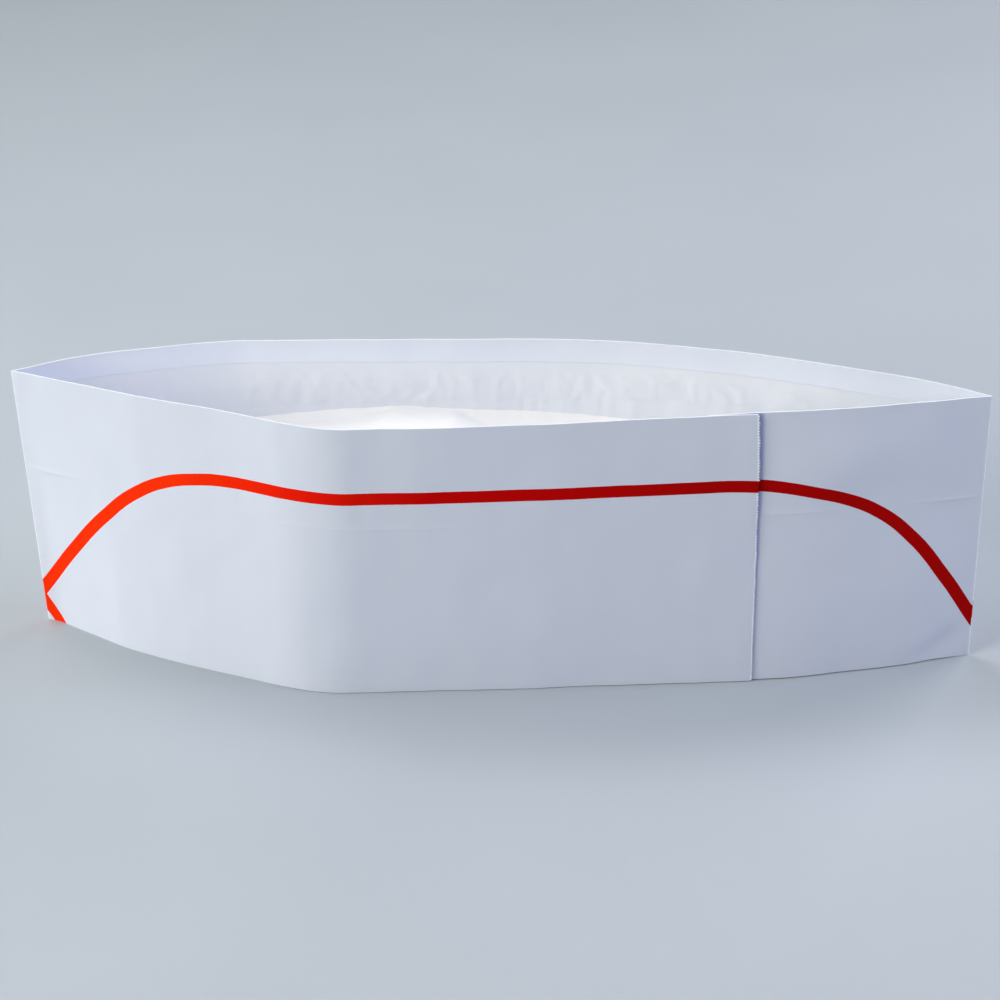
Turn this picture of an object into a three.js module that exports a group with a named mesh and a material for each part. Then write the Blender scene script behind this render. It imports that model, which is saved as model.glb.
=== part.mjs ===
// A disposable paper cap of the overseas form: one printed paper strip, folded to a crease at each end
// and lapped on its front panel, with a tissue crown glued inside it. Lengths in millimetres, turns in
// degrees. X runs from crease to crease, -Y is the front panel, Z is up and 0 is the surface it stands on.
import * as THREE from 'three';
import { mergeVertices } from 'three/addons/utils/BufferGeometryUtils.js';

// Paper strip
const stripHeight = 89;       // hem to rim
const panelLength = 297.2;    // along one panel, from crease to crease: half of the strip
const tipSpan = 288.3;        // straight across, from crease to crease
const paperWall = 1;
const panelSteps = 44;        // sections along a panel

// Bends of each edge of the strip: where along the panel, how far it turns and over what length.
// Only the proportions between the turns of one edge count, because the edge has to span the tips.
const edges = {
  frontRim: { side: -1, bends: [{ at: 110, turn: 25.7, spread: 18 }, { at: 217, turn: 5.3, spread: 120 }] },
  frontHem: { side: -1, bends: [{ at: 47, turn: 10.3, spread: 60 }, { at: 100, turn: 22.8, spread: 45 },
                                { at: 243, turn: 11.1, spread: 90 }] },
  backRim: { side: 1, bends: [{ at: 22, turn: 15.2, spread: 30 }, { at: 64, turn: 12.6, spread: 30 },
                              { at: 174, turn: 11.2, spread: 50 }, { at: 220, turn: 8.0, spread: 40 },
                              { at: 275, turn: 10.8, spread: 40 }] },
  backHem: { side: 1, bends: [{ at: 26, turn: 14.0, spread: 50 }, { at: 70, turn: 13.0, spread: 60 },
                              { at: 172, turn: 11.0, spread: 80 }, { at: 222, turn: 9.0, spread: 60 },
                              { at: 272, turn: 11.0, spread: 50 }] },
};

// Lapped and glued seam on the front panel: the strip's left end lies over its right end
const seamAt = 229;           // cut end of the outer layer, along the front panel
const lapLength = 14;         // two layers glued
const lapRamp = 9;            // over which a layer steps in or out to make room for the other

// Tissue crown
const tissueWall = 1;
const glueGap = 0.3;          // between the tissue and the strip
const tissueTop = 81.4;       // upper edge, all round
const skirtFoot = 66;         // down to here the tissue lies on the wall
const floorEdge = 63.5;       // where it has turned from the wall to the floor
const floorInset = 3;         // how far that is from the wall
const valleySlope = 0.6;      // fall of the floor towards its valley fold, per millimetre
const tissueEndSteps = 2;     // it stops this many of the panel's sections from each crease
const skirtRows = 4;          // points down the skirt
const floorRows = 5;          // points from a wall to the valley

const fineSteps = 400;        // of the integration along an edge

const paperWhite = new THREE.MeshStandardMaterial({ color: 0xe9edf2, roughness: 0.85, metalness: 0 });
const tissueWhite = new THREE.MeshStandardMaterial({ color: 0xf2f4f5, roughness: 0.95, metalness: 0 });

// The edge's line in plan, as points at equal steps along it, turned by the bends times a factor
function bentLine(bends, factor) {
  const step = panelLength / fineSteps;
  const points = [new THREE.Vector2(0, 0)];
  for (let i = 0; i < fineSteps; i++) {
    const along = (i + 0.5) * step;
    let heading = 0;
    for (const bend of bends) {
      const start = bend.at - bend.spread / 2;
      heading += factor * bend.turn * THREE.MathUtils.smoothstep(along, start, start + bend.spread);
    }
    const last = points[i];
    const angle = THREE.MathUtils.degToRad(heading);
    points.push(new THREE.Vector2(last.x + step * Math.cos(angle), last.y + step * Math.sin(angle)));
  }
  return points;
}

// The same line with the factor that makes it span the two tips, laid with its ends on the X axis
function edgeLine({ side, bends }) {
  let low = 0.5;
  let high = 2;
  for (let i = 0; i < 40; i++) {
    const middle = (low + high) / 2;
    if (bentLine(bends, middle).at(-1).length() > tipSpan) low = middle;
    else high = middle;
  }
  const points = bentLine(bends, low);
  const turned = -points.at(-1).angle();
  return points.map((point) => {
    point.rotateAround(new THREE.Vector2(0, 0), turned);
    return new THREE.Vector2(point.x - tipSpan / 2, -side * point.y);
  });
}

const lines = Object.fromEntries(Object.entries(edges).map(([name, edge]) => [name, edgeLine(edge)]));

// Point on the middle of the strip: along a panel from the left crease, at a height
function onStrip(panel, along, height) {
  const at = (name) => {
    const place = THREE.MathUtils.clamp(along / panelLength, 0, 1) * fineSteps;
    const first = Math.min(Math.floor(place), fineSteps - 1);
    return lines[name][first].clone().lerp(lines[name][first + 1], place - first);
  };
  const flat = at(panel + 'Hem').lerp(at(panel + 'Rim'), height / stripHeight);
  return new THREE.Vector3(flat.x, flat.y, height);
}

// The two faces of the wall, measured outwards from the strip's middle. A row repeated with another
// value is a cut end, where a layer stops.
const wholeFaces = [paperWall / 2, -paperWall / 2];
const lapFaces = [
  { at: seamAt - lapLength - lapRamp, outer: paperWall / 2, inner: -paperWall / 2 },
  { at: seamAt - lapLength, outer: paperWall, inner: 0 },
  { at: seamAt - lapLength, outer: paperWall, inner: -paperWall },
  { at: seamAt, outer: paperWall, inner: -paperWall },
  { at: seamAt, outer: 0, inner: -paperWall },
  { at: seamAt + lapRamp, outer: paperWall / 2, inner: -paperWall / 2 },
];

// How far the tissue's seat lies inside the strip's middle on the front panel, clear of the lap
const seatSlack = 2;          // the tissue is out of the way this far before a cut end
const seatRows = [
  { at: seamAt - lapLength - lapRamp, depth: paperWall / 2 },
  { at: seamAt - lapLength - seatSlack, depth: paperWall },
  { at: seamAt + seatSlack, depth: paperWall },
  { at: seamAt + lapRamp + seatSlack, depth: paperWall / 2 },
];

function seatDepth(along) {
  for (let i = 1; i < seatRows.length; i++) {
    const [from, to] = [seatRows[i - 1], seatRows[i]];
    if (along >= from.at && along <= to.at) {
      return THREE.MathUtils.mapLinear(along, from.at, to.at, from.depth, to.depth);
    }
  }
  return paperWall / 2;
}

// Stations round the strip: out along the front panel and home along the back one
function stations() {
  const list = [];
  const step = panelLength / panelSteps;
  const lapStart = lapFaces[0].at;
  const lapEnd = lapFaces.at(-1).at;
  for (let i = 0; i < panelSteps; i++) {
    const along = i * step;
    if (along < lapStart - step / 3 || along > lapEnd + step / 3) {
      list.push({ panel: 'front', along, faces: wholeFaces });
    }
  }
  for (const row of lapFaces) {
    list.push({ panel: 'front', along: row.at, faces: [row.outer, row.inner] });
  }
  list.sort((a, b) => a.along - b.along);
  for (let i = 0; i < panelSteps; i++) {
    list.push({ panel: 'back', along: panelLength - i * step, faces: wholeFaces });
  }
  return list;
}

// Sideways direction at a station, pointing out, longer at a crease so that the wall keeps its thickness
function mitre(before, here, after) {
  const normalOf = (from, to) => new THREE.Vector3(to.y - from.y, from.x - to.x, 0).normalize();
  const first = normalOf(before, here);
  const second = normalOf(here, after);
  return first.clone().add(second).divideScalar(1 + first.dot(second));
}

// Closed mesh from sections with equal numbers of points: round and back to the first one, or with its
// ends closed across, each section being a strip that runs out along one face and home along the other
function skin(sections, isRing) {
  const count = sections[0].length;
  const positions = sections.flat().flatMap((point) => [point.x, point.y, point.z]);
  const index = [];
  const quad = (a, b, c, d) => index.push(a, b, c, a, c, d);
  const spans = isRing ? sections.length : sections.length - 1;
  for (let i = 0; i < spans; i++) {
    const next = (i + 1) % sections.length;
    for (let j = 0; j < count; j++) {
      const side = (j + 1) % count;
      quad(i * count + j, next * count + j, next * count + side, i * count + side);
    }
  }
  if (!isRing) {
    const last = (sections.length - 1) * count;
    for (let j = 0; j < count / 2 - 1; j++) {
      const home = count - 1 - j;
      quad(j, j + 1, home - 1, home);
      quad(last + home, last + home - 1, last + j + 1, last + j);
    }
  }
  const loose = new THREE.BufferGeometry();
  loose.setAttribute('position', new THREE.Float32BufferAttribute(positions, 3));
  loose.setIndex(index);
  const merged = mergeVertices(loose, 1e-4);
  const corners = merged.getIndex().array;
  const kept = [];
  for (let i = 0; i < corners.length; i += 3) {
    const [a, b, c] = corners.slice(i, i + 3);
    if (a !== b && b !== c && c !== a) kept.push(a, b, c);
  }
  merged.setIndex(kept);
  if (volume(merged) < 0) {
    merged.setIndex(kept.reverse());
  }
  merged.computeVertexNormals();
  return merged;
}

// Six times the volume inside a mesh, negative where its faces point in
function volume(geometry) {
  const place = geometry.getAttribute('position');
  const corners = geometry.getIndex().array;
  const corner = (i) => new THREE.Vector3().fromBufferAttribute(place, corners[i]);
  let sum = 0;
  for (let i = 0; i < corners.length; i += 3) {
    sum += corner(i).dot(corner(i + 1).cross(corner(i + 2)));
  }
  return sum;
}

// The strip's wall, four corners to a section: outer hem, outer rim, inner rim, inner hem
function makeBand() {
  const list = stations();
  const ringAt = (height) => {
    const middle = list.map(({ panel, along }) => onStrip(panel, along, height));
    return middle.map((here, i) => {
      const apart = (point) => point.distanceTo(here) > 1e-6;
      const after = middle.slice(i + 1).concat(middle.slice(0, i)).find(apart);
      const before = middle.slice(i + 1).concat(middle.slice(0, i)).findLast(apart);
      const sideways = mitre(before, here, after);
      return list[i].faces.map((depth) => here.clone().addScaledVector(sideways, depth));
    });
  };
  const hem = ringAt(0);
  const rim = ringAt(stripHeight);
  return skin(list.map((_, i) => [hem[i][0], rim[i][0], rim[i][1], hem[i][1]]), true);
}

// Point at a depth inside the strip's inner face
function insideStrip(panel, along, height, depth) {
  const here = onStrip(panel, along, height);
  const ahead = onStrip(panel, along + 1, height).sub(onStrip(panel, along - 1, height)).normalize();
  const side = edges[panel + 'Rim'].side;
  const inwards = new THREE.Vector3(ahead.y, -ahead.x, 0).multiplyScalar(side);
  const seat = panel === 'front' ? seatDepth(along) : paperWall / 2;
  return here.addScaledVector(inwards, seat + depth);
}

// One face of the crown across the cap at a station: down the front skirt, over the floor, up the back.
// The lift is 0 on the side towards the strip and the head, and 1 on the side that shows from above.
function crownFace(along, lift) {
  const skirt = (panel) => {
    const points = [];
    for (let i = 0; i < skirtRows; i++) {
      const height = THREE.MathUtils.lerp(tissueTop, skirtFoot, i / (skirtRows - 1));
      points.push(insideStrip(panel, along, height, glueGap + lift * tissueWall));
    }
    return points;
  };
  const edgeDepth = glueGap + floorInset;
  const front = insideStrip('front', along, floorEdge, edgeDepth);
  const back = insideStrip('back', along, floorEdge, edgeDepth);
  const fall = valleySlope * front.distanceTo(back) / 2;
  const rise = lift * tissueWall * Math.hypot(1, valleySlope);
  const floor = [];
  for (let i = 0; i <= 2 * floorRows; i++) {
    const across = i / (2 * floorRows);
    const point = front.clone().lerp(back, across);
    point.z += rise - fall * (1 - Math.abs(2 * across - 1));
    floor.push(point);
  }
  return [...skirt('front'), ...floor, ...skirt('back').reverse()];
}

function makeCrown() {
  const places = seatRows.map((row) => row.at);
  for (let i = tissueEndSteps; i <= panelSteps - tissueEndSteps; i++) {
    places.push(i * panelLength / panelSteps);
  }
  places.sort((a, b) => a - b);
  const sections = places.map((along) => [...crownFace(along, 0), ...crownFace(along, 1).reverse()]);
  return skin(sections, false);
}

// The strip's box is centred on the origin in plan, and the crown goes with it
const cap = new THREE.Group();
const bandShape = makeBand();
bandShape.computeBoundingBox();
const centre = bandShape.boundingBox.getCenter(new THREE.Vector3());

for (const [name, shape, material] of [
  ['band', bandShape, paperWhite],
  ['crown_tissue', makeCrown(), tissueWhite],
]) {
  const mesh = new THREE.Mesh(shape, material);
  mesh.name = name;
  mesh.position.set(-centre.x, -centre.y, 0);
  cap.add(mesh);
}

export default cap;
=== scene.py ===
# A paper overseas cap: the printed strip, lapped and glued round, and the tissue crown inside it.
# Shapes are worked out in millimetres and laid down in metres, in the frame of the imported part.
import math
import bpy
import numpy as np
from mathutils import Matrix, Vector, noise


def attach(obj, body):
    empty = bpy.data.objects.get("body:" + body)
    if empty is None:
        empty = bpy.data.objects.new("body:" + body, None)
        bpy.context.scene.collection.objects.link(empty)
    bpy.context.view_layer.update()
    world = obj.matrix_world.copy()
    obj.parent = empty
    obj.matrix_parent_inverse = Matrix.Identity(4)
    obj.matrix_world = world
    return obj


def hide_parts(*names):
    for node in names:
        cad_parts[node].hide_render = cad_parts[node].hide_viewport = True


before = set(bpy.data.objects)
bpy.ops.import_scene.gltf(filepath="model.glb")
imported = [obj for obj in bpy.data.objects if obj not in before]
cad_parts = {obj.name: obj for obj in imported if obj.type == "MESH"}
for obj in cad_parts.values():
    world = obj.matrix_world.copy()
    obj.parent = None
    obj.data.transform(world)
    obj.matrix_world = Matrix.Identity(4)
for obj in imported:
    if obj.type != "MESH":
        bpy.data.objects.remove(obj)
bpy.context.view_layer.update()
mm = 0.001
print("frame loaded")

# The cap's form, as in the part's source
capForm = {
    "stripHeight": 89.0,          # hem to rim
    "panelLength": 297.2,         # one panel, crease to crease
    "tipSpan": 288.3,             # straight across between the creases
    "planShift": (-0.14, 2.58),   # where the middle of the tips lies in the part's frame
}
edgeBends = {
    "frontRim": {"side": -1, "bends": [(110, 25.7, 18), (217, 5.3, 120)]},   # at, turn, spread
    "frontHem": {"side": -1, "bends": [(47, 10.3, 60), (100, 22.8, 45), (243, 11.1, 90)]},
    "backRim": {"side": 1, "bends": [(22, 15.2, 30), (64, 12.6, 30), (174, 11.2, 50), (220, 8.0, 40),
                                     (275, 10.8, 40)]},
    "backHem": {"side": 1, "bends": [(26, 14.0, 50), (70, 13.0, 60), (172, 11.0, 80), (222, 9.0, 60),
                                     (272, 11.0, 50)]},
}
# How far the paper has settled out of that form: place along the panel, millimetres outwards
settled = {
    "frontRim": [(0, 1.2), (12, 1.4), (30, 1.25), (44, 1.4), (57, 0.7), (68, 0), (90, 0.1), (99, -0.6),
                 (107, -1.6), (115, -2.4), (122, -2.3), (132, -1.5), (150, -1.1), (170, -0.9), (190, -1.2),
                 (213, -1.1), (235, -0.8), (248, 0), (258, 0.5), (285, 0.8), (293, 0.7), (297.2, 0.4)],
    "frontHem": [(0, 0), (5, -0.4), (13, 0), (22, 0.6), (31, 1.4), (60, 1.3), (76, 1.6), (96, 2.7),
                 (105, 2.65), (116, 2.2), (165, 2.1), (184, 1.75), (226, 1.65), (245, 1.55), (259, 0.95),
                 (270, 1.2), (280, 1.45), (291, 0.9), (297.2, 0)],
    "backRim": [(0, -1.2), (10, -0.6), (30, -0.1), (100, 0.3), (150, 0.55), (190, 0.7), (225, 0.95),
                (245, 0.8), (262, 0.3), (275, 0.4), (290, 0.3), (297.2, -0.4)],
    "backHem": [(0, 0), (297.2, 0)],
}
height = capForm["stripHeight"]
panel = capForm["panelLength"]
wayRound = 2 * panel
fineSteps = 400                   # points along a panel's edge
scaleRange = (0.5, 2.0)           # in which the bends' scale is sought, and how often it is halved
halvings = 40
lookAhead = 0.2                   # millimetres either side, to find the direction of the strip
creaseRound = 0.7                 # the fold at each end takes this much paper either side
sharpAngle = 50                   # degrees, past which an edge stays sharp


def smooth(value, low=0.0, high=1.0):
    t = np.clip((np.asarray(value, float) - low) / (high - low), 0, 1)
    return t * t * (3 - 2 * t)


def bump(value, middle, reach):
    return np.exp(-((np.asarray(value, float) - middle) / reach) ** 2)


def bentLine(bends, factor):
    step = panel / fineSteps
    along = (np.arange(fineSteps) + 0.5) * step
    heading = sum(factor * turn * smooth(along, at - spread / 2, at + spread / 2)
                  for at, turn, spread in bends)
    heading = np.radians(heading)
    x = np.concatenate([[0], np.cumsum(np.cos(heading))]) * step
    y = np.concatenate([[0], np.cumsum(np.sin(heading))]) * step
    return x, y


def edgeLine(name):
    edge = edgeBends[name]
    low, high = scaleRange
    for _ in range(halvings):     # the bends are scaled until the ends lie as far apart as they should
        middle = (low + high) / 2
        x, y = bentLine(edge["bends"], middle)
        if math.hypot(x[-1], y[-1]) > capForm["tipSpan"]:
            low = middle
        else:
            high = middle
    turned = -math.atan2(y[-1], x[-1])
    c, s = math.cos(turned), math.sin(turned)
    shiftX, shiftY = capForm["planShift"]
    line = np.stack([x * c - y * s - capForm["tipSpan"] / 2 + shiftX,
                     -edge["side"] * (x * s + y * c) + shiftY], 1)
    ahead = np.gradient(line, axis=0)
    ahead /= np.linalg.norm(ahead, axis=1, keepdims=True)
    out = np.interp(np.linspace(0, panel, len(line)), *zip(*settled[name]))
    away = edge["side"] * np.stack([-ahead[:, 1], ahead[:, 0]], 1)
    return line + away * out[:, None]


def closedLoop(front, back):
    there, home = edgeLine(front), edgeLine(back)[::-1]
    home[-1] = (there[0] + home[-1]) / 2       # the panels meet at the folds
    home[0] = (there[-1] + home[0]) / 2
    return np.concatenate([home[-1:], there[1:-1], home])


hemLoop = closedLoop("frontHem", "backHem")
rimLoop = closedLoop("frontRim", "backRim")
loopPlaces = np.linspace(0, wayRound, len(hemLoop))


def sharpPlan(u, z):
    u = np.mod(u, wayRound)
    part = np.clip(z / height, 0, 1)
    out = []
    for axis in (0, 1):
        low = np.interp(u, loopPlaces, hemLoop[:, axis])
        top = np.interp(u, loopPlaces, rimLoop[:, axis])
        out.append(low + (top - low) * part)
    return np.stack(out, -1)


# Middle of the strip in plan, u millimetres round from the left crease, with the folds rounded
def plan(u, z):
    u, z = np.broadcast_arrays(np.asarray(u, float), np.asarray(z, float))
    place = sharpPlan(u, z)
    for crease in (0.0, panel, wayRound, wayRound + panel):
        away = u - crease
        near = np.abs(away) < creaseRound
        if near.any():
            t = ((away[near] + creaseRound) / (2 * creaseRound))[:, None]
            first = sharpPlan(np.full(near.sum(), crease - creaseRound), z[near])
            corner = sharpPlan(np.full(near.sum(), crease), z[near])
            last = sharpPlan(np.full(near.sum(), crease + creaseRound), z[near])
            corner = 2 * corner - (first + last) / 2      # the ridge stays where the sharp corner was
            place[near] = (1 - t) ** 2 * first + 2 * t * (1 - t) * corner + t ** 2 * last
    return place


def outward(u, z):
    ahead = plan(u + lookAhead, z) - plan(u - lookAhead, z)
    ahead /= np.linalg.norm(ahead, axis=-1, keepdims=True)
    return np.stack([ahead[..., 1], -ahead[..., 0]], -1)


# Smooth noise over the paper, about -1 to 1, with features of the given width and height
def cloud(u, z, across, up, seed, octaves=3):
    dimension, lacunarity = 1.0, 2.0
    flat = np.stack([np.ravel(u) / across, np.ravel(z) / up], 1)
    values = [noise.fractal(Vector((a, b, seed)), dimension, lacunarity, octaves) for a, b in flat]
    return np.reshape(values, np.shape(u))


# Sharp ridges, 0 in smooth fields and 1 along the folds between them
def folds(u, z, across, up, seed, sharpness=5):
    return 1 - np.minimum(1, sharpness * np.abs(cloud(u, z, across, up, seed, 2)))


# Closed sheet from two grids of points, with a material slot for each face and one for the cut edges
def sheetMesh(name, outer, inner, uv, slots):
    rows, columns = outer.shape[:2]
    count = rows * columns
    points = np.concatenate([outer.reshape(-1, 3), inner.reshape(-1, 3)]) * mm
    grid = np.arange(count).reshape(rows, columns)
    a, b, c, d = grid[:-1, :-1], grid[:-1, 1:], grid[1:, 1:], grid[1:, :-1]
    front = np.stack([a, b, c, d], -1).reshape(-1, 4)
    back = np.stack([d, c, b, a], -1).reshape(-1, 4) + count
    edges = []
    for line, flip in ((grid[0], True), (grid[-1], False), (grid[:, 0], False), (grid[:, -1], True)):
        quads = np.stack([line[:-1], line[:-1] + count, line[1:] + count, line[1:]], -1)
        edges.append(quads if flip else quads[:, ::-1])
    faces = np.concatenate([front, back, *edges])
    mesh = bpy.data.meshes.new(name)
    mesh.from_pydata(points.tolist(), [], faces.tolist())
    layer = mesh.uv_layers.new(name="paperFlat")
    flat = np.concatenate([uv.reshape(-1, 2)] * 2)
    layer.data.foreach_set("uv", flat[faces.reshape(-1)].astype(np.float32).reshape(-1))
    marks = np.full(len(faces), slots[2], np.int32)
    marks[:2 * len(front)] = slots[1]
    marks[:len(front)] = slots[0]
    mesh.polygons.foreach_set("material_index", marks)
    mesh.polygons.foreach_set("use_smooth", np.ones(len(faces), bool))
    mesh.update()
    mesh.set_sharp_from_angle(angle=math.radians(sharpAngle))
    piece = bpy.data.objects.new(name, mesh)
    bpy.context.scene.collection.objects.link(piece)
    return piece


# The paper strip
strip = {
    "thickness": 0.42,
    "seamAt": 229.15,             # cut end of the outer layer, along the front panel
    "seamDrift": [(0, -0.35), (12, -0.27), (19, -0.15), (33, 0.15), (41, 0.15), (43, 0.45), (46, 0.25),
                  (53, 0.25), (60, 0.45), (73, 0.6), (82, 0.35), (89, 0.2)],     # height, how far it strays
    "driftLength": 30.0,          # the straying fades out this far from the cut end
    "lap": 14.0,                  # glued under it
    "ramp": 9.0,                  # over which a layer steps in or out
    "layerGap": 0.03,             # half of the hair between the layers
    "lift": (0.14, 0.55),         # the cut end stands off the layer below, at the hem and the rim
    "liftFrom": 35.0,             # height above which it lifts more and more
    "liftLength": 13.0,
    "hemLift": [(0, 0), (80, 0), (90, 0.15), (120, 0.25), (228, 0.3), (234, 0.42), (290, 0.42),
                (297.2, 0)],      # place along the front panel, how far its hem stands off the floor
    "hemLiftHeight": 20.0,        # above which the paper isn't raised with it
    "column": 1.7,
    "row": 1.5,
    "foldColumns": (0.12, 0.26, 0.42, 0.6, 0.8, 1.05, 1.5, 2.2, 3),     # closer ones by an end fold,
    "endColumns": (1.0, 1.6, 3),  # before the cut end
    "creaseRows": (0.2, 0.45, 0.8, 1.4),     # and above and below the level crease
    "foldHold": 3.0,              # so near an end fold the paper can't buckle
    "toothPitch": 0.92,
    "toothDepth": 0.65,
    "toothUneven": 0.45,
    "toothSeed": 5,
    "toothFlare": 32.0,           # degrees that they bend outwards
    "lightEnd": 0.28,                 # so far in from the cut end the paper takes the lighter tone of the cut edge
    "lightEndFrom": 60.0,             # above this height
    "toothMargin": 0.7,           # no teeth this close to the hem and the rim
    "edgePoints": 60,             # along the cut end, to set the teeth on
}
stripLength = wayRound + strip["lap"]
innerEnd = strip["seamAt"] - strip["lap"]


def stripColumns():
    places = list(np.linspace(0, stripLength, int(stripLength / strip["column"])))
    for crease in (panel, wayRound):
        middle = crease - innerEnd
        places = [v for v in places if abs(v - middle) > strip["foldColumns"][-1]]
        places += [middle + side * away for away in strip["foldColumns"] for side in (-1, 1)] + [middle]
    places += [stripLength - away for away in (strip["lightEnd"], *strip["endColumns"])]
    return np.array(sorted(set(round(v, 4) for v in places)))


def stripRows():
    level = relief["creaseHeight"]
    closer = strip["creaseRows"]
    rows = [z for z in np.linspace(0, height, int(height / strip["row"])) if abs(z - level) > closer[-1]]
    rows += [level + side * away for away in closer for side in (-1, 1)] + [level]
    return np.array(sorted(rows))


# How far the paper stands out of its smooth form
relief = {
    "buckle": (0.3, 46, 60, 3.1),           # depth, width, height and seed of the noise
    "ripple": (0.16, 13, 17, 7.7),
    "rimWave": (0.22, 24, 11.3),            # depth, width and seed, fading in above the next heights
    "rimWaveFrom": (60, 89),
    "creaseHeight": 56.4,                   # a faint level crease runs all round
    "creaseDepth": 0.16,
    "creaseReach": 0.7,
    "creaseShown": [(2.0, 8, 9), (0.7, 115, 22), (1.0, 240, 11), (1.8, 291, 10), (0.35, 430, 60)],
    "creaseLeast": 0.12,                    # strength, place and reach above; how much shows elsewhere
    "creaseWander": (0.5, 30, 2.0),         # how far up and down, with width and seed
    "dents": [                              # depth, place and reach along, height and reach up
        (0.40, 262, 16, 74, 8),
        (0.30, 280, 14, 30, 12),
        (-0.30, 288, 12, 52, 9),
        (1.10, 252, 12, 72, 12),
    ],
    "cornerFold": {                         # a faint valley that cuts off the lower right corner
        "depth": 0.8,
        "from": (277.0, 0.0),
        "to": (297.2, 12.5),
        "reachOver": 2.6,                   # how far it spreads above the line, and below
        "reachUnder": 7.0,
        "middle": (287.0, 4.0),
        "extent": (9.0, 10.0),
    },
}


def cornerValley(u, z):
    fold = relief["cornerFold"]
    (u0, z0), (u1, z1) = fold["from"], fold["to"]
    span = math.hypot(u1 - u0, z1 - z0)
    under = ((u - u0) * (z1 - z0) - (z - z0) * (u1 - u0)) / span      # past the line, towards the corner
    reach = np.where(under > 0, fold["reachUnder"], fold["reachOver"])
    (middleU, middleZ), (extentU, extentZ) = fold["middle"], fold["extent"]
    there = bump(u, middleU, extentU) * bump(z, middleZ, extentZ)
    return -fold["depth"] * bump(under, 0, reach) * there


def paperRelief(u, z):
    w = np.mod(u, wayRound)
    depth, across, up, seed = relief["buckle"]
    out = depth * cloud(w, z, across, up, seed, 2)
    depth, across, up, seed = relief["ripple"]
    out = out + depth * cloud(w, z, across, up, seed, 3)
    depth, across, seed = relief["rimWave"]
    out = out + depth * cloud(w, 0 * z, across, 1, seed, 2) * smooth(z, *relief["rimWaveFrom"])
    shown = sum(part * bump(w, at, reach) for part, at, reach in relief["creaseShown"])
    shown = relief["creaseLeast"] + shown
    wander, across, seed = relief["creaseWander"]
    level = relief["creaseHeight"] + wander * cloud(w, 0 * z, across, 1, seed, 2)
    out = out + relief["creaseDepth"] * shown * np.exp(-np.abs(z - level) / relief["creaseReach"])
    for depth, at, reach, heightAt, heightReach in relief["dents"]:
        out = out + depth * bump(w, at, reach) * bump(z, heightAt, heightReach)
    return out + cornerValley(w, z)


def foldHold(u):                  # the folds at the ends keep the paper from buckling
    return 1 - bump(np.mod(u + panel / 2, panel) - panel / 2, 0, strip["foldHold"])


# The outer layer steps out over the lap and the inner one steps in under it
def layerStep(v, z):
    half = strip["thickness"] / 2 + strip["layerGap"]
    lapStart = stripLength - strip["lap"]
    step = half * smooth(v, lapStart - strip["ramp"], lapStart)
    step = step - half * (1 - smooth(v, strip["lap"], strip["lap"] + strip["ramp"]))
    low, high = strip["lift"]
    lift = low + (high - low) * smooth(z, strip["liftFrom"], height)
    return step + lift * smooth(v, stripLength - strip["liftLength"], stripLength) ** 2


# Middle of the paper at v millimetres along the cut strip, and its outward direction
def stripPoint(v, z):
    drift = np.interp(z, *zip(*strip["seamDrift"]))
    u = innerEnd + v + drift * smooth(v, stripLength - strip["driftLength"], stripLength)
    place = plan(u, z)
    away = outward(u, z)
    depth = (paperRelief(u, z) - strip["thickness"] / 2) * foldHold(u) + layerStep(v, z)
    return place + away * depth[..., None], away


def makeStrip():
    v, z = np.meshgrid(stripColumns(), stripRows())
    place, away = stripPoint(v, z)
    u = np.mod(v + innerEnd, wayRound)
    raised = z + np.interp(u, *zip(*strip["hemLift"]), right=0) * (1 - smooth(z, 0, strip["hemLiftHeight"]))
    sides = []
    for sign in (0.5, -0.5):
        flat = place + away * sign * strip["thickness"]
        sides.append(np.concatenate([flat, raised[..., None]], -1))
    uv = np.stack([v / stripLength, z / height], -1)
    piece = sheetMesh("paper_strip", sides[0], sides[1], uv, (0, 1, 2))
    rows, columns = v.shape[0] - 1, v.shape[1] - 1
    for row in range(rows):       # the strip at the cut end takes the tone of cut paper
        if z[row, 0] > strip["lightEndFrom"]:
            piece.data.polygons[(row + 1) * columns - 1].material_index = 2
    return piece


paperStrip = makeStrip()
print("strip made", len(paperStrip.data.polygons))

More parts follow.
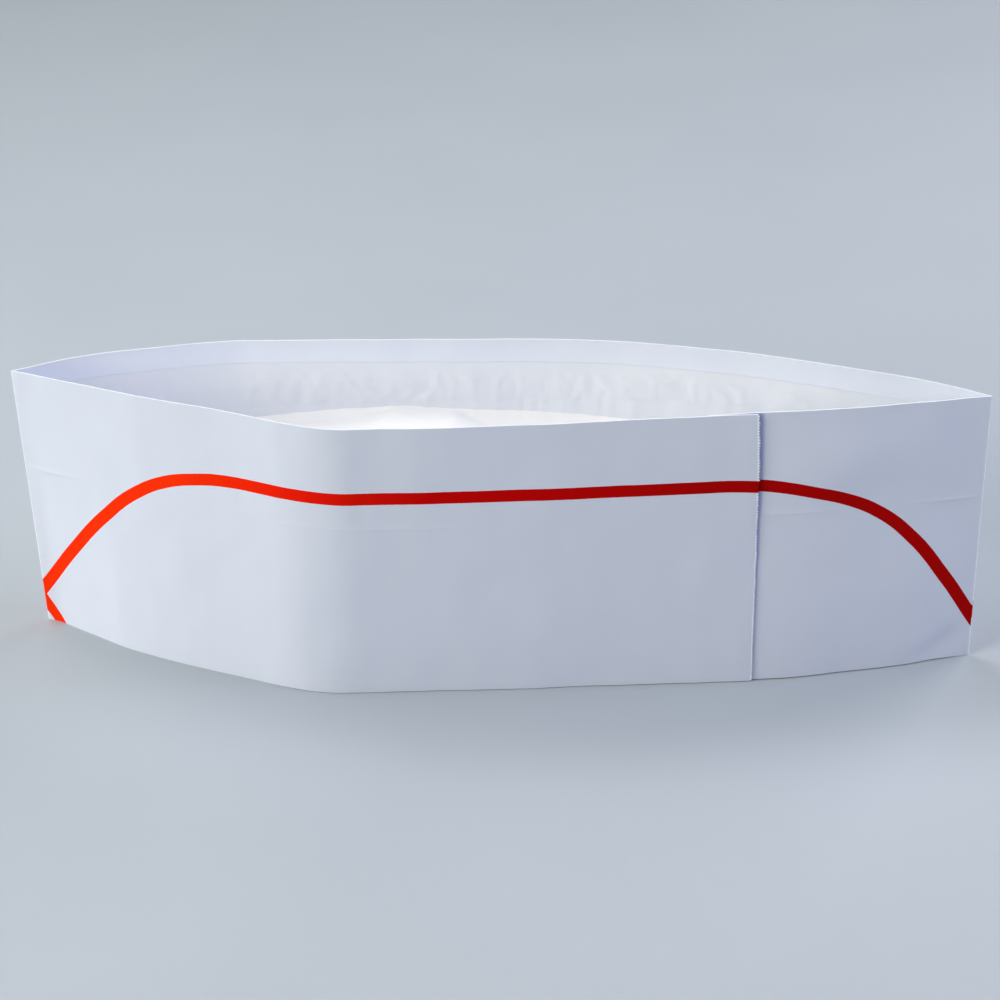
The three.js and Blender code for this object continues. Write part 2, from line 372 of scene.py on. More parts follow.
# The tissue crown, glued inside the rim: a skirt down each wall and a creased floor between them
crown = {
    "thickness": 0.22,
    "edgeThickness": 0.12,        # at its upper edge, where it is pressed to the wall
    "edgeReach": 0.08,            # part of the skirt over which it thins to that
    "wallGap": 0.03,
    "top": 81.4,                  # upper edge on the wall
    "unevenTop": (0.25, 3.5),     # it is cut a little unevenly: height and width
    "lapSpan": (205, 214, 230, 242),   # it comes in over the lap, and goes back, between these places
    "lapGap": 0.05,
    "foot": [(0, 65.0), (60, 66.0), (100, 68.0), (136, 68.6), (173, 68.8), (210, 71.3), (240, 70.6),
             (297, 66.8)],
    "floorEdge": [(0, 62.9), (69, 63.6), (86, 65.2), (98, 66.3), (117, 67.1), (148, 66.0), (166, 65.4),
                  (200, 64.8), (240, 63.8), (297, 63.0)],
    "lean": 0.45,                 # from the foot to the floor's edge, in for each millimetre down
    "leanFade": 30.0,             # it fades out over this much of each end
    "standOff": 0.5,              # of the foot from the wall
    "standFrom": 0.1,             # part of the skirt's height from which it stands off
    "looseFrom": (0.02, 0.5),     # and over which its folds set in
    "band": [(0, 1.0), (69, 1.5), (86, 2.8), (100, 3.2), (110, 2.0), (114, 0.3), (135, 0.3), (142, 3.6),
             (148, 6.0), (155, 5.0), (161, 3.2), (172, 2.6), (200, 2.2), (297, 1.0)],
    "frontBand": 2.5,             # widths of the steeper strip of floor along the back edge and the front
    "bandSlope": 0.7,
    "shelf": 10.5,                # the floor is nearly level so far in from either edge
    "shelfSlope": 0.16,
    "valleySlope": 0.73,
    "tuck": (1.0, 110, 4, 1.2, 0.9),   # a dip by the back edge: depth, place, reach, distance in, reach
    "skirtFolds": (0.34, 7, 14),  # depth, width and height
    "skirtWaves": (0.5, 18, 13),
    "floorFolds": (0.3, 30, 10),
    "floorWaves": (0.45, 26, 9),
    "floorFrom": (0.5, 6.0),      # distance in from an edge over which the floor's folds set in
    "seeds": {"front": 20.0, "back": 31.0, "floorWaves": 61.0, "floorFolds": 66.0},
    "flatUnit": 300.0,            # millimetres for each unit of its UV map
    "endGap": 7.5,                # from each crease, along the panels
    "column": 1.15,
    "skirtRows": 24,
    "leanRows": 5,
    "floorRows": 36,
}


# Point on the inside of a panel, depth millimetres in from the strip's middle
def tissueWall(side, along, z, depth):
    u = along if side == "front" else wayRound - along
    follow = (paperRelief(u, z) - strip["thickness"] / 2) * foldHold(u)
    return plan(u, z) - outward(u, z) * (depth - follow)[..., None]


def alongTable(along, table):
    return np.interp(along, *zip(*table))


# Half of what the upper edge is thinner than the rest
def edgeThinned(part):
    return (crown["thickness"] - crown["edgeThickness"]) / 2 * (1 - smooth(part, 0, crown["edgeReach"]))


def skirtGrid(side, along):
    seed = crown["seeds"][side]
    comesIn, isIn, goesBack, isBack = crown["lapSpan"]
    lapRoom = strip["thickness"] / 2 + crown["lapGap"]
    lapRoom = lapRoom * smooth(along, comesIn, isIn) * (1 - smooth(along, goesBack, isBack))
    nearest = strip["thickness"] / 2 + crown["wallGap"] + crown["thickness"] / 2
    nearest = nearest + (lapRoom if side == "front" else 0 * along)
    foldDepth, foldAcross, foldUp = crown["skirtFolds"]
    waveDepth, waveAcross, waveUp = crown["skirtWaves"]
    uneven, unevenAcross = crown["unevenTop"]
    foot = alongTable(along, crown["foot"])
    floorEdge = alongTable(along, crown["floorEdge"])
    rows = []
    for part in np.linspace(0, 1, crown["skirtRows"]):
        edge = crown["top"] + uneven * cloud(along, 0 * along, unevenAcross, 1, seed, 2)
        z = edge + (foot - edge) * part
        loose = smooth(part, *crown["looseFrom"])
        crease = foldDepth * folds(along, z, foldAcross, foldUp, seed + 5)
        crease = crease + waveDepth * (1 + cloud(along, z, waveAcross, waveUp, seed + 9, 3))
        depth = nearest - edgeThinned(part)
        depth = depth + crown["standOff"] * smooth(part, crown["standFrom"], 1) + loose * crease
        rows.append(np.concatenate([tissueWall(side, along, z, depth), z[:, None]], -1))
    for part in np.linspace(0, 1, crown["leanRows"] + 1)[1:]:
        z = foot + (floorEdge - foot) * part
        faded = np.minimum(1, np.minimum(along, panel - along) / crown["leanFade"])
        into = crown["lean"] * (foot - z) * faded
        rows.append(np.concatenate([tissueWall(side, along, z, depth + into), z[:, None]], -1))
    return rows


# How far the floor has dropped, so far in from an edge with a steeper strip along it
def floorDrop(away, band):
    drop = crown["bandSlope"] * np.minimum(away, band)
    drop = drop + crown["shelfSlope"] * np.clip(away - band, 0, crown["shelf"] - band)
    return drop + crown["valleySlope"] * np.maximum(0, away - crown["shelf"])


def tissueGrid():
    along = np.linspace(crown["endGap"], panel - crown["endGap"], int(panel / crown["column"]))
    front, back = skirtGrid("front", along), skirtGrid("back", along)
    width = np.linalg.norm(front[-1] - back[-1], axis=-1)
    band = alongTable(along, crown["band"])
    tuckDepth, tuckAt, tuckReach, tuckIn, tuckInReach = crown["tuck"]
    foldDepth, foldAcross, foldUp = crown["floorFolds"]
    waveDepth, waveAcross, waveUp = crown["floorWaves"]
    seeds = crown["seeds"]
    floor = []
    count = 2 * crown["floorRows"]
    for i in range(1, count):
        t = 0.5 - 0.5 * math.cos(math.pi * i / count)     # rows closest together by the edges
        place = front[-1] * (1 - t) + back[-1] * t
        fromFront, fromBack = t * width, (1 - t) * width
        drop = np.minimum(floorDrop(fromFront, crown["frontBand"]), floorDrop(fromBack, band))
        crease = waveDepth * cloud(along, fromBack, waveAcross, waveUp, seeds["floorWaves"], 3)
        crease = crease + foldDepth * folds(along, fromBack, foldAcross, foldUp, seeds["floorFolds"])
        drop = drop - crease * smooth(np.minimum(fromFront, fromBack), *crown["floorFrom"])
        drop = drop + tuckDepth * bump(along, tuckAt, tuckReach) * bump(fromBack, tuckIn, tuckInReach)
        place[:, 2] -= drop
        floor.append(place)
    return np.array(front + floor + back[::-1])


def surfaceNormals(grid):
    down = np.gradient(grid, axis=0)
    along = np.gradient(grid, axis=1)
    normal = np.cross(along, down)
    return normal / np.maximum(np.linalg.norm(normal, axis=-1, keepdims=True), 1e-9)


def makeTissue():
    grid = tissueGrid()
    normal = surfaceNormals(grid)
    rows, columns = grid.shape[:2]
    half = np.full((rows, 1, 1), crown["thickness"] / 2)
    thinned = edgeThinned(np.linspace(0, 1, crown["skirtRows"]))[:, None, None]
    half[:len(thinned)] -= thinned
    half[-len(thinned):] -= thinned[::-1]
    steps = np.linalg.norm(np.diff(grid, axis=0), axis=-1)
    lengthDown = np.cumsum(np.concatenate([np.zeros((1, columns)), steps]), 0)
    lengthAlong = np.broadcast_to(np.linspace(0, panel, columns), (rows, columns))
    uv = np.stack([lengthAlong, lengthDown], -1) / crown["flatUnit"]
    piece = sheetMesh("tissue_crown", grid + normal * half, grid - normal * half, uv, (0, 0, 0))
    skirt = crown["skirtRows"] + crown["leanRows"] - 1
    inSkirt = np.zeros((rows - 1, columns - 1), np.int32)
    inSkirt[:skirt] = inSkirt[-skirt:] = 1
    slots = np.ones(len(piece.data.polygons), np.int32)
    slots[:2 * inSkirt.size] = np.tile(inSkirt.reshape(-1), 2)
    piece.data.polygons.foreach_set("material_index", slots)
    run = panel - 2 * crown["endGap"]
    reach = lengthDown[-1]
    return piece, (run * mm, float(reach.max()) * mm), run * float(reach.mean()) * mm * mm


# The sheet, its length and greatest width, and its area
tissueCrown, tissueFlat, tissueArea = makeTissue()
print("tissue lies flat as", [round(side, 4) for side in tissueFlat], "m, area", round(tissueArea, 5))
print("tissue made", len(tissueCrown.data.polygons))

# Cut end of the strip: fine teeth along the lapped edge, by Geometry Nodes


def socketOf(tree, name):
    return next(item.identifier for item in tree.interface.items_tree
                if item.item_type == "SOCKET" and item.in_out == "INPUT" and item.name == name)


def toothTree():
    tree = bpy.data.node_groups.new("serratedEdge", "GeometryNodeTree")
    face = tree.interface
    face.new_socket("Geometry", in_out="INPUT", socket_type="NodeSocketGeometry")
    for name in ("Pitch", "Depth", "Thickness", "Heading", "Unevenness"):
        face.new_socket(name, in_out="INPUT", socket_type="NodeSocketFloat")
    face.new_socket("Seed", in_out="INPUT", socket_type="NodeSocketInt")
    face.new_socket("Paper", in_out="INPUT", socket_type="NodeSocketMaterial")
    face.new_socket("Geometry", in_out="OUTPUT", socket_type="NodeSocketGeometry")
    nodes, links = tree.nodes, tree.links
    start = nodes.new("NodeGroupInput")
    end = nodes.new("NodeGroupOutput")
    curve = nodes.new("GeometryNodeMeshToCurve")
    spaced = nodes.new("GeometryNodeResampleCurve")
    spaced.mode = "LENGTH"
    tooth = nodes.new("GeometryNodeMeshCylinder")
    tooth.inputs["Vertices"].default_value = 3
    tooth.inputs["Radius"].default_value = 1.0
    turn = nodes.new("GeometryNodeTransform")     # one corner towards +X, the flat faces across Y
    turn.inputs["Rotation"].default_value = (math.radians(90), 0, 0)
    place = nodes.new("GeometryNodeInstanceOnPoints")
    angles = nodes.new("ShaderNodeCombineXYZ")
    size = nodes.new("ShaderNodeCombineXYZ")
    wide = nodes.new("ShaderNodeMath")
    wide.operation = "MULTIPLY"
    wide.inputs[1].default_value = 0.62           # a triangle's side is 1.73 radii
    uneven = nodes.new("FunctionNodeRandomValue")
    least = nodes.new("ShaderNodeMath")
    least.operation = "SUBTRACT"
    least.inputs[0].default_value = 1.0
    deep = nodes.new("ShaderNodeMath")
    deep.operation = "MULTIPLY"
    real = nodes.new("GeometryNodeRealizeInstances")
    paint = nodes.new("GeometryNodeSetMaterial")
    links.new(start.outputs["Geometry"], curve.inputs["Mesh"])
    links.new(curve.outputs["Curve"], spaced.inputs["Curve"])
    links.new(start.outputs["Pitch"], spaced.inputs["Length"])
    links.new(start.outputs["Thickness"], tooth.inputs["Depth"])
    links.new(tooth.outputs["Mesh"], turn.inputs["Geometry"])
    links.new(spaced.outputs["Curve"], place.inputs["Points"])
    links.new(turn.outputs["Geometry"], place.inputs["Instance"])
    links.new(start.outputs["Heading"], angles.inputs["Z"])
    links.new(angles.outputs["Vector"], place.inputs["Rotation"])
    links.new(start.outputs["Unevenness"], least.inputs[1])
    links.new(least.outputs[0], uneven.inputs[2])
    links.new(start.outputs["Seed"], uneven.inputs["Seed"])
    uneven.inputs[3].default_value = 1.0
    links.new(start.outputs["Depth"], deep.inputs[0])
    links.new(uneven.outputs[1], deep.inputs[1])
    links.new(deep.outputs[0], size.inputs["X"])
    size.inputs["Y"].default_value = 1.0
    links.new(start.outputs["Pitch"], wide.inputs[0])
    links.new(wide.outputs[0], size.inputs["Z"])
    links.new(size.outputs["Vector"], place.inputs["Scale"])
    links.new(place.outputs["Instances"], real.inputs["Geometry"])
    links.new(real.outputs["Geometry"], paint.inputs["Geometry"])
    links.new(start.outputs["Paper"], paint.inputs["Material"])
    links.new(paint.outputs["Geometry"], end.inputs["Geometry"])
    return tree


def makeTeeth(material):
    z = np.linspace(strip["toothMargin"], height - strip["toothMargin"], strip["edgePoints"])
    place, away = stripPoint(np.full_like(z, stripLength), z)
    points = np.concatenate([place, z[:, None]], -1) * mm
    mesh = bpy.data.meshes.new("cut_edge")
    mesh.from_pydata(points.tolist(), [(i, i + 1) for i in range(len(z) - 1)], [])
    edge = bpy.data.objects.new("cut_edge", mesh)
    bpy.context.scene.collection.objects.link(edge)
    tree = toothTree()
    modifier = edge.modifiers.new("teeth", "NODES")
    modifier.node_group = tree
    midway = away[strip["edgePoints"] // 2]
    heading = math.atan2(midway[0], -midway[1]) - math.radians(strip["toothFlare"])
    values = {
        "Pitch": strip["toothPitch"] * mm,
        "Depth": strip["toothDepth"] * mm,
        "Thickness": strip["thickness"] * mm,
        "Heading": heading,
        "Unevenness": strip["toothUneven"],
        "Seed": strip["toothSeed"],
        "Paper": material,
    }
    for name, value in values.items():
        modifier[socketOf(tree, name)] = value
    view = bpy.context.evaluated_depsgraph_get()
    teeth = bpy.data.meshes.new_from_object(edge.evaluated_get(view))
    bpy.data.objects.remove(edge)
    teeth.materials.clear()
    teeth.materials.append(material)
    teeth.polygons.foreach_set("material_index", np.zeros(len(teeth.polygons), np.int32))
    layer = teeth.uv_layers.new(name="paperFlat")
    for loop in teeth.loops:
        layer.data[loop.index].uv = (1.0, teeth.vertices[loop.vertex_index].co.z / mm / height)
    piece = bpy.data.objects.new("strip_teeth", teeth)
    bpy.context.scene.collection.objects.link(piece)
    return piece


# Materials


# Short calls for a node tree: one adds a node with its inputs, the other a sum
def nodeMaker(tree):
    def put(node, key, value):
        if isinstance(value, bpy.types.NodeSocket):
            tree.links.new(value, node.inputs[key])
        else:
            node.inputs[key].default_value = value

    def add(kind, inputs=None, **settings):
        node = tree.nodes.new(kind)
        for name, value in settings.items():      # first, because a group's inputs come with its tree
            setattr(node, name, value)
        for key, value in (inputs or {}).items():
            put(node, key, value)
        return node

    def calc(operation, *values, clamp=False):
        node = tree.nodes.new("ShaderNodeMath")
        node.operation = operation
        node.use_clamp = clamp
        for i, value in enumerate(values):
            put(node, i, value)
        return node.outputs[0]

    return add, calc


def newGroup(name, inputs, outputs):
    tree = bpy.data.node_groups.new(name, "ShaderNodeTree")
    for label, kind, value in inputs:
        socket = tree.interface.new_socket(label, in_out="INPUT", socket_type=kind)
        if value is not None:
            socket.default_value = value
    for label, kind in outputs:
        tree.interface.new_socket(label, in_out="OUTPUT", socket_type=kind)
    return tree, tree.nodes.new("NodeGroupInput"), tree.nodes.new("NodeGroupOutput")


# The red line: how high it runs at each distance from a motif's middle, towards its left and right ends
printedLine = {
    "width": 3.85,
    "ragged": 0.12,               # how much its edges stray, and the scale of the noise
    "raggedScale": 1.6,
    "sharpness": 12.0,            # of its edges
    "left": [(0, 66.4), (50, 66.5), (68, 66.6), (78, 66.4), (88, 65.1), (98, 62.4), (108.5, 56.7),
             (120.7, 46.1), (134.5, 31.0), (150, 11.8), (160, -1.0)],
    "right": [(0, 66.4), (65, 66.4), (75, 66.2), (87, 64.9), (96.4, 62.8), (106, 59.7), (115.8, 54.4),
              (126, 45.1), (136.9, 30.3), (147.1, 13.9), (157, -2.1)],
    "longest": 160.0,             # the tables' reach, and the heights that they span
    "lowest": -10.0,
    "span": 90.0,
    "motifs": (150.0, 443.3, 744.4),     # their middles, round from the left crease
    "meet": 297.0,                # the first two meet here and stop
    "misfit": 0.1,                # the inner layer's print sits higher at the seam
    "inkShadedBetween": (55.0, 215.0),     # the red is painted darker between these places on a panel, and back: painted shade where less light falls
}


# Value of a table at a socket's value
# The table's places run from 0 to longest, its values from lowest up over span
def tableCurve(tree, calc, table, value, longest, lowest, span):
    curve = tree.nodes.new("ShaderNodeFloatCurve")
    points = curve.mapping.curves[0].points
    for i, (at, worth) in enumerate(table):
        place = (at / longest, (worth - lowest) / span)
        point = points[i] if i < 2 else points.new(*place)
        point.location = place
        point.handle_type = "AUTO_CLAMPED"
    curve.mapping.update()
    tree.links.new(calc("DIVIDE", value, longest), curve.inputs["Value"])
    return calc("MULTIPLY_ADD", curve.outputs["Value"], span, lowest)


# Distance from one half of a motif, for a point so far from the motif's middle and at a height
def courseGroup(name, table):
    p = printedLine
    tree, start, end = newGroup(
        name,
        [("From middle", "NodeSocketFloat", 0.0), ("Height", "NodeSocketFloat", 0.0)],
        [("Distance", "NodeSocketFloat")])
    calc = nodeMaker(tree)[1]

    def level(shift):
        away = calc("ADD", start.outputs["From middle"], shift)
        return tableCurve(tree, calc, table, away, p["longest"], p["lowest"], p["span"])

    step = 1.0
    slope = calc("DIVIDE", calc("SUBTRACT", level(step), level(-step)), 2 * step)
    across = calc("ABSOLUTE", calc("SUBTRACT", start.outputs["Height"], level(0.0)))
    square = calc("MULTIPLY_ADD", slope, slope, 1.0)
    tree.links.new(calc("DIVIDE", across, calc("SQRT", square)), end.inputs["Distance"])
    return tree


def lineGroup():
    p = printedLine
    tree, start, end = newGroup(
        "printedLine",
        [("Flat", "NodeSocketVector", None), ("Width", "NodeSocketFloat", p["width"]),
         ("Ragged", "NodeSocketFloat", p["ragged"])],
        [("Ink", "NodeSocketFloat"), ("Weight", "NodeSocketFloat")])
    add, calc = nodeMaker(tree)
    courses = [courseGroup("leftCourse", p["left"]), courseGroup("rightCourse", p["right"])]
    split = add("ShaderNodeSeparateXYZ", {0: start.outputs["Flat"]})
    u = calc("MULTIPLY_ADD", split.outputs["X"], stripLength, innerEnd)
    z = calc("MULTIPLY", split.outputs["Y"], height)
    place = add("ShaderNodeCombineXYZ", {"X": u, "Y": z})
    grain = add("ShaderNodeTexNoise", {
        "Vector": place.outputs[0],
        "Scale": p["raggedScale"],
        "Detail": 2.0})
    ragged = calc("MULTIPLY", calc("SUBTRACT", grain.outputs["Fac"], 0.5), start.outputs["Ragged"])
    masks = []
    for middle, low, high, lift in ((p["motifs"][0], 0.0, p["meet"], p["misfit"]),
                                    (p["motifs"][1], p["meet"], 2 * wayRound, 0.0),
                                    (p["motifs"][2], 0.0, 2 * wayRound, 0.0)):
        rightwards = calc("SUBTRACT", u, middle)
        away = calc("ABSOLUTE", rightwards)
        isRight = calc("GREATER_THAN", rightwards, 0.0)
        left, right = (add("ShaderNodeGroup", {"From middle": away, "Height": calc("SUBTRACT", z, lift)},
                           node_tree=course).outputs["Distance"] for course in courses)
        distance = calc("ADD", calc("MULTIPLY", left, calc("SUBTRACT", 1.0, isRight)),
                        calc("MULTIPLY", right, isRight))
        half = calc("MULTIPLY", start.outputs["Width"], 0.5)
        edge = calc("SUBTRACT", half, calc("ADD", distance, ragged))
        mask = calc("MULTIPLY_ADD", edge, p["sharpness"], 0.5, clamp=True)
        mask = calc("MULTIPLY", mask, calc("GREATER_THAN", u, low))
        masks.append(calc("MULTIPLY", mask, calc("LESS_THAN", u, high)))
    ink = calc("MAXIMUM", calc("MAXIMUM", masks[0], masks[1]), masks[2])
    tree.links.new(ink, end.inputs["Ink"])
    # the red's painted shade, growing along each panel
    shadeStart, shadeFull = p["inkShadedBetween"]
    along = calc("PINGPONG", u, panel)
    redShade = add("ShaderNodeMapRange", {"Value": along, "From Min": shadeStart, "From Max": shadeFull})
    tree.links.new(redShade.outputs["Result"], end.inputs["Weight"])
    return tree


# Painted highlight, with some rubbing: the paper is painted lighter along each end fold, towards the
# cut-edge tone, where the rounded folds catch the light
foldHighlight = {"reach": 0.55, "strength": 0.75}
# Painted shadow: a darker, bluer strip on the under layer just past the outer layer's cut end, where its
# shade falls
seamShadowLine = {
    "width": [(0, 0.9), (30, 1.2), (60, 1.8), (89, 2.5)],      # by height
    "strength": [(0, 0.35), (15, 0.5), (30, 0.75), (45, 1.0), (65, 1.0), (89, 0.85)],
    "widest": 3.0,
}


# Painted shadow on the under layer, just past the cut end of the outer one, and a painted highlight along
# the folds, with some rubbing there
def markGroup():
    tree, start, end = newGroup(
        "paperMarks",
        [("Flat", "NodeSocketVector", None)],
        [("Seam shadow", "NodeSocketFloat"), ("Fold highlight", "NodeSocketFloat")])
    add, calc = nodeMaker(tree)
    split = add("ShaderNodeSeparateXYZ", {0: start.outputs["Flat"]})
    u = calc("MULTIPLY_ADD", split.outputs["X"], stripLength, innerEnd)
    z = calc("MULTIPLY", split.outputs["Y"], height)
    drift = tableCurve(tree, calc, strip["seamDrift"], z, height, lowest=-1.0, span=2.0)
    width = tableCurve(tree, calc, seamShadowLine["width"], z, height, lowest=0.0, span=seamShadowLine["widest"])
    strength = tableCurve(tree, calc, seamShadowLine["strength"], z, height, lowest=0.0, span=1.0)
    past = calc("SUBTRACT", calc("SUBTRACT", u, strip["seamAt"]), drift)
    shadowed = calc("SUBTRACT", 1.0, calc("DIVIDE", past, width), clamp=True)
    shadowed = calc("MULTIPLY", shadowed, calc("LESS_THAN", u, wayRound))
    tree.links.new(calc("MULTIPLY", shadowed, strength), end.inputs["Seam shadow"])
    away = calc("PINGPONG", u, panel)
    away = calc("MINIMUM", away, calc("SUBTRACT", panel, away))
    brightened = calc("SUBTRACT", 1.0, calc("DIVIDE", away, foldHighlight["reach"]), clamp=True)
    tree.links.new(calc("MULTIPLY", calc("SQRT", brightened), foldHighlight["strength"]), end.inputs["Fold highlight"])
    return tree


# The paper's surface: cloudy formation, and fibres of two sizes
def fibreGroup():
    tree, start, end = newGroup(
        "paperFibre",
        [("Place", "NodeSocketVector", None), ("Fibre scale", "NodeSocketFloat", 2600.0),
         ("Cloud scale", "NodeSocketFloat", 90.0), ("Stretch", "NodeSocketFloat", 0.45),
         ("Middle scale", "NodeSocketFloat", 700.0)],
        [("Tone", "NodeSocketFloat"), ("Relief", "NodeSocketFloat")])
    add, calc = nodeMaker(tree)
    split = add("ShaderNodeSeparateXYZ", {0: start.outputs["Place"]})
    drawn = add("ShaderNodeCombineXYZ", {
        "X": calc("MULTIPLY", split.outputs["X"], start.outputs["Stretch"]),
        "Y": calc("MULTIPLY", split.outputs["Y"], start.outputs["Stretch"]),
        "Z": split.outputs["Z"]})

    def grain(place, scale, **more):
        return add("ShaderNodeTexNoise", {"Vector": place, "Scale": scale, **more}).outputs["Fac"]

    def mixed(first, second, share):
        return calc("ADD", calc("MULTIPLY", first, share), calc("MULTIPLY", second, 1 - share))

    fine = grain(drawn.outputs[0], start.outputs["Fibre scale"], Detail=3.0, Roughness=0.6)
    clouds = grain(start.outputs["Place"], start.outputs["Cloud scale"], Detail=4.0, Roughness=0.55)
    middle = grain(drawn.outputs[0], start.outputs["Middle scale"], Detail=2.0)
    tree.links.new(mixed(clouds, fine, 0.6), end.inputs["Tone"])
    tree.links.new(mixed(fine, middle, 0.5), end.inputs["Relief"])
    return tree


paperLook = {
    "white": (0.668, 0.706, 0.823, 1),
    "shade": (0.63, 0.667, 0.79, 1),
    # the inner side: partly its own unprinted tone, partly painted light standing for the light that passes
    # through the thin paper
    "insideWhite": (0.732, 0.768, 0.865, 1),
    "insideShade": (0.705, 0.742, 0.84, 1),
    # painted shadow past the outer layer's cut end
    "glued": (0.277, 0.319, 0.642, 1),
    "reds": [(0, (0.93, 0.028, 0.001, 1)), (0.28, (0.78, 0.008, 0.001, 1)), (0.5, (0.55, 0.001, 0.001, 1)),
             (0.78, (0.495, 0.001, 0.001, 1)), (1, (0.405, 0.001, 0.001, 1))],    # by the painted shade along the panel
    "cutEdge": (0.825, 0.85, 0.905, 1),
    "fibres": {"Fibre scale": 2600.0, "Cloud scale": 90.0, "Stretch": 0.45},
    "roughness": 0.75,
    "inkRoughness": 0.6,
    "gloss": 0.02,
    "bumpStrength": 0.6,
    "bumpDistance": 0.00004,
}
tissueLook = {
    "white": (0.93, 0.922, 0.926, 1),
    "shade": (0.9, 0.891, 0.9, 1),
    "skirt": (0.727, 0.748, 0.81, 1),        # the blue-white paper shows through where it lies on the wall
    "skirtShade": (0.7, 0.72, 0.786, 1),
    "fibres": {"Fibre scale": 1500.0, "Cloud scale": 120.0, "Stretch": 0.6},
    "roughness": 0.9,
    "gloss": 0.05,
    "bumpStrength": 0.5,
    "bumpDistance": 0.00012,
}


def newMaterial(name, gloss):
    material = bpy.data.materials.new(name)
    material.use_nodes = True
    shader = material.node_tree.nodes["Principled BSDF"]
    shader.inputs["Specular IOR Level"].default_value = gloss
    return material, shader, nodeMaker(material.node_tree)


# Colour between two others; either may be a socket
def blend(add, factor, first, second):
    return add("ShaderNodeMix", {"Factor": factor, 6: first, 7: second}, data_type="RGBA").outputs[2]


# Material with the fibres' relief; the colour between its two tones is still to be linked
def fibreSheet(name, look, fibre, tones):
    material, shader, maker = newMaterial(name, look["gloss"])
    add = maker[0]
    place = add("ShaderNodeTexCoord").outputs["Object"]
    paper = add("ShaderNodeGroup", {"Place": place, **look["fibres"]}, node_tree=fibre)
    shader.inputs["Roughness"].default_value = look["roughness"]
    relief = add("ShaderNodeBump", {
        "Strength": look["bumpStrength"],
        "Distance": look["bumpDistance"],
        "Height": paper.outputs["Relief"]})
    material.node_tree.links.new(relief.outputs["Normal"], shader.inputs["Normal"])
    colour = blend(add, paper.outputs["Tone"], look[tones[0]], look[tones[1]])
    return material, shader, colour, maker


# Paper, with the red line and the marks on it if groups for them are given
def paperMaterial(name, fibre, tones, line=None, marks=None):
    material, shader, colour, (add, calc) = fibreSheet(name, paperLook, fibre, tones)
    tree = material.node_tree
    flat = add("ShaderNodeUVMap", uv_map="paperFlat").outputs["UV"]
    if marks:
        marked = add("ShaderNodeGroup", {"Flat": flat}, node_tree=marks)
        # paints the shadow past the cut end and the highlight along the folds
        for output, shade in (("Seam shadow", "glued"), ("Fold highlight", "cutEdge")):
            colour = blend(add, marked.outputs[output], colour, paperLook[shade])
    if line:
        ink = add("ShaderNodeGroup", {"Flat": flat}, node_tree=line)
        # the red is painted darker along each panel: painted shade
        red = add("ShaderNodeValToRGB")
        tree.links.new(ink.outputs["Weight"], red.inputs["Fac"])
        stops = red.color_ramp.elements
        for i, (at, shade) in enumerate(paperLook["reds"]):
            stop = stops[i] if i < 2 else stops.new(at)
            stop.position = at
            stop.color = shade
        colour = blend(add, ink.outputs["Ink"], colour, red.outputs["Color"])
        change = paperLook["inkRoughness"] - paperLook["roughness"]
        rough = calc("MULTIPLY_ADD", ink.outputs["Ink"], change, paperLook["roughness"])
        tree.links.new(rough, shader.inputs["Roughness"])
    tree.links.new(colour, shader.inputs["Base Color"])
    return material


def tissueMaterial(name, fibre, tones):
    material, shader, colour, _ = fibreSheet(name, tissueLook, fibre, tones)
    material.node_tree.links.new(colour, shader.inputs["Base Color"])
    return material


fibre = fibreGroup()
redLine = lineGroup()
printedPaper = paperMaterial("printed paper", fibre, ("shade", "white"), redLine, markGroup())
# its lighter tones are partly painted light, for the light through the thin paper
plainPaper = paperMaterial("plain paper", fibre, ("insideShade", "insideWhite"))
cutPaper = paperMaterial("cut paper", fibre, ("cutEdge", "cutEdge"), redLine)
crownTissue = tissueMaterial("crown tissue", fibre, ("shade", "white"))
skirtTissue = tissueMaterial("skirt tissue", fibre, ("skirtShade", "skirt"))
for material in (printedPaper, plainPaper, cutPaper):
    paperStrip.data.materials.append(material)
for material in (crownTissue, skirtTissue):
    tissueCrown.data.materials.append(material)

stripTeeth = makeTeeth(cutPaper)
print("teeth made", len(stripTeeth.data.polygons))

for piece in (paperStrip, stripTeeth):
    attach(piece, "root")
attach(tissueCrown, "root")
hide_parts("band")
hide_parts("crown_tissue")

# Floor
floorLook = {
    "size": 12.0,
    "colour": (0.412, 0.454, 0.504, 1),
    "pale": (0.455, 0.493, 0.54, 1),
    "mottle": 9.0,
    "roughness": 0.6,
    "gloss": 0.2,
}


def makeFloor():
    half = floorLook["size"] / 2
    mesh = bpy.data.meshes.new("table")
    corners = [(-half, -half, 0), (half, -half, 0), (half, half, 0), (-half, half, 0)]
    mesh.from_pydata(corners, [], [(0, 1, 2, 3)])
    floor = bpy.data.objects.new("table", mesh)
    bpy.context.scene.collection.objects.link(floor)
    material, shader, (add, _) = newMaterial("table top", floorLook["gloss"])
    place = add("ShaderNodeTexCoord").outputs["Object"]
    mottle = add("ShaderNodeTexNoise", {"Vector": place, "Scale": floorLook["mottle"], "Detail": 6.0})
    colour = blend(add, mottle.outputs["Fac"], floorLook["colour"], floorLook["pale"])
    material.node_tree.links.new(colour, shader.inputs["Base Color"])
    shader.inputs["Roughness"].default_value = floorLook["roughness"]
    mesh.materials.append(material)


makeFloor()

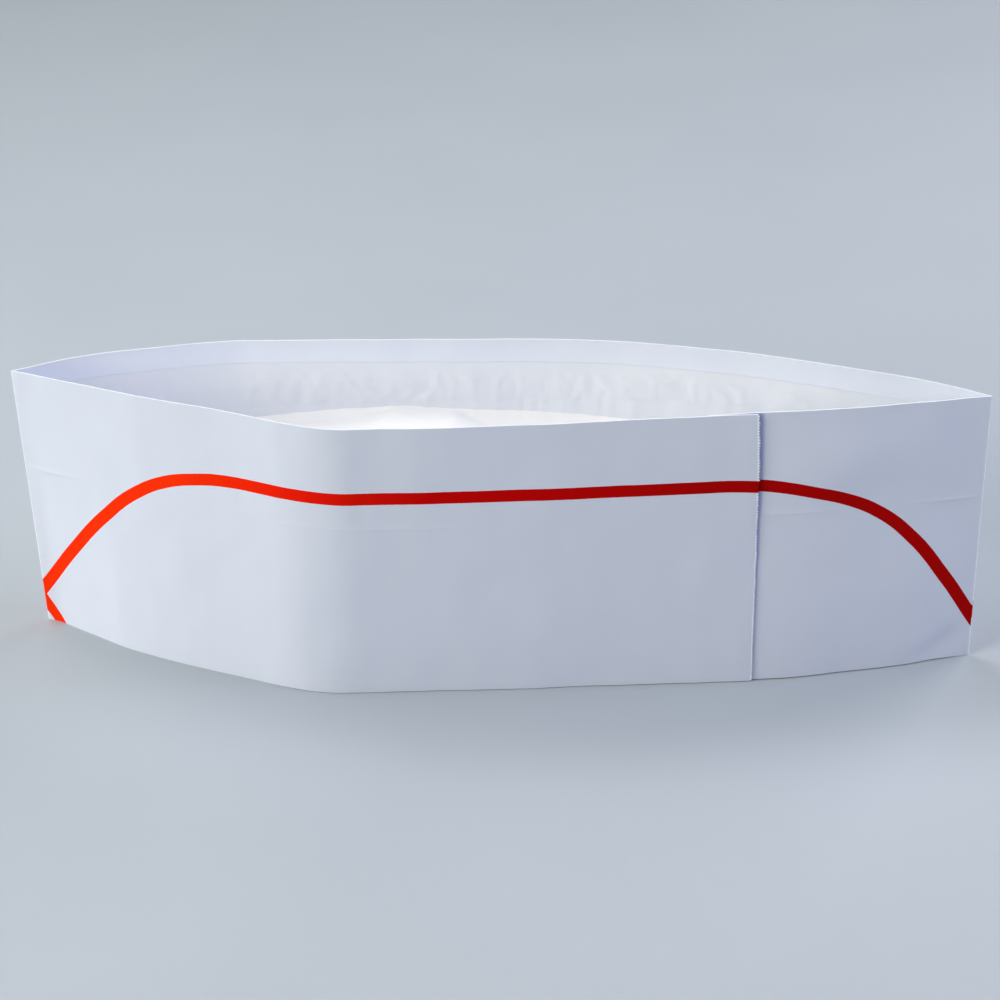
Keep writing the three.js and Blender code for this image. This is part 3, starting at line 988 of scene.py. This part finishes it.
# Light: mostly from the left and in front, softer ones above and at the right, and a faint surround
lighting = {
    "overhead": {"from": (-0.8, 0.1, 1.3), "size": 1.0, "power": 7.5, "colour": (0.986, 1.0, 0.982)},
    "above": {"from": (-0.3, 0.35, 1.0), "size": 0.35, "power": 2.9, "colour": (1.002, 1.0, 1.014)},
    "left": {"from": (-1.3, 0.1, 0.5), "size": 0.8, "power": 1.3, "colour": (1.0, 1.0, 0.98)},
    "leftFront": {"from": (-1.1, -0.8, 0.6), "size": 0.8, "power": 19.5, "colour": (1.007, 1.0, 0.904)},
    "right": {"from": (1.3, 0, 0.6), "size": 0.8, "power": 12.0, "colour": (0.951, 1.0, 1.203)},
    "rightBack": {"from": (0.9, 0.9, 0.8), "size": 0.8, "power": 8.2, "colour": (0.995, 1.0, 0.992)},
}
lightAim = Vector((0, 0, 0.03))
surround = {"strength": 0.02, "colour": (0.78, 0.86, 1.0)}


def addLight(name, spec):
    data = bpy.data.lights.new(name, "AREA")
    data.shape = "SQUARE"
    data.size = spec["size"]
    data.energy = spec["power"]
    data.color = spec["colour"]
    lamp = bpy.data.objects.new(name, data)
    bpy.context.scene.collection.objects.link(lamp)
    lamp.location = spec["from"]
    lamp.rotation_euler = (lightAim - Vector(spec["from"])).to_track_quat("-Z", "Y").to_euler()


for name, spec in lighting.items():
    addLight(name, spec)
world = bpy.data.worlds.new("surround")
bpy.context.scene.world = world
world.use_nodes = True
sky = world.node_tree.nodes["Background"]
sky.inputs["Color"].default_value = (*surround["colour"], 1)
sky.inputs["Strength"].default_value = surround["strength"]
bpy.context.scene.view_settings.view_transform = "Standard"

# Camera, where the photograph was taken from
cameraPlace = {
    "from": (0.07618, -0.59267, 0.39599),
    "down": 30.04,                # degrees, as the next two
    "aside": -7.144,
    "roll": -1.719,
    "focal": 2.3,                 # focal length for a picture one unit wide
    "sensor": 36.0,
}


def makeCamera():
    down, aside, roll = (math.radians(cameraPlace[key]) for key in ("down", "aside", "roll"))
    level = Vector((math.sin(aside), math.cos(aside), 0))
    right = Vector((math.cos(aside), -math.sin(aside), 0))
    ahead = level * math.cos(down) - Vector((0, 0, math.sin(down)))
    up = level * math.sin(down) + Vector((0, 0, math.cos(down)))
    rolledRight = math.cos(roll) * right + math.sin(roll) * up
    rolledUp = math.cos(roll) * up - math.sin(roll) * right
    data = bpy.data.cameras.new("camera")
    data.sensor_width = cameraPlace["sensor"]
    data.lens = cameraPlace["focal"] * data.sensor_width
    camera = bpy.data.objects.new("camera", data)
    bpy.context.scene.collection.objects.link(camera)
    turned = Matrix((rolledRight, rolledUp, -ahead)).transposed().to_4x4()
    camera.matrix_world = Matrix.Translation(cameraPlace["from"]) @ turned
    bpy.context.scene.camera = camera


makeCamera()
print("camera and lights set")
